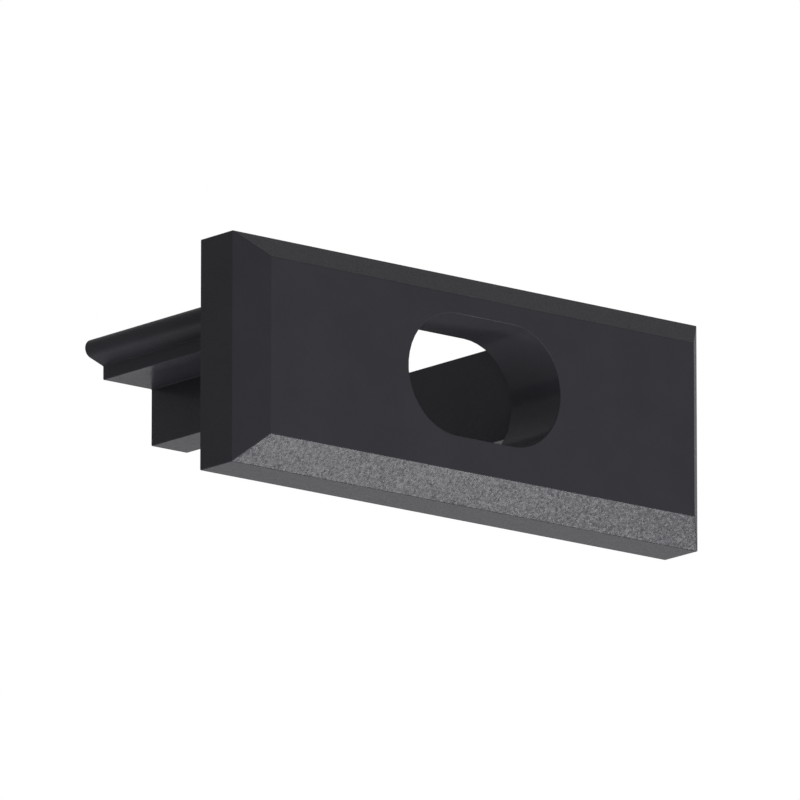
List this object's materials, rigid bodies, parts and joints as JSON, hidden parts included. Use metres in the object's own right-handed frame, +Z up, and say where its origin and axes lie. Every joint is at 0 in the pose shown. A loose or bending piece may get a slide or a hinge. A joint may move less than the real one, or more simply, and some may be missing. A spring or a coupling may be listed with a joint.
{
  "type": "profile end cap",
  "caption": "Rectangular end cap for a slim extruded profile: bevelled plate with an oblong cable hole, and mirrored snap-in prongs behind it.",
  "frame": {"origin": "middle of the lower edge of the plate's back face, where the cap meets the profile's cut end", "axes": "+X along the plate's length, +Y out of the plate's back along the prongs into the profile, +Z up the plate's height"},
  "size_m": [0.0154, 0.0087, 0.006],
  "materials": {
    "body": "fine-grained black moulded plastic with a slight sheen"
  },
  "bodies": {
    "root": {"end_cap": "body"}
  },
  "joints": []
}
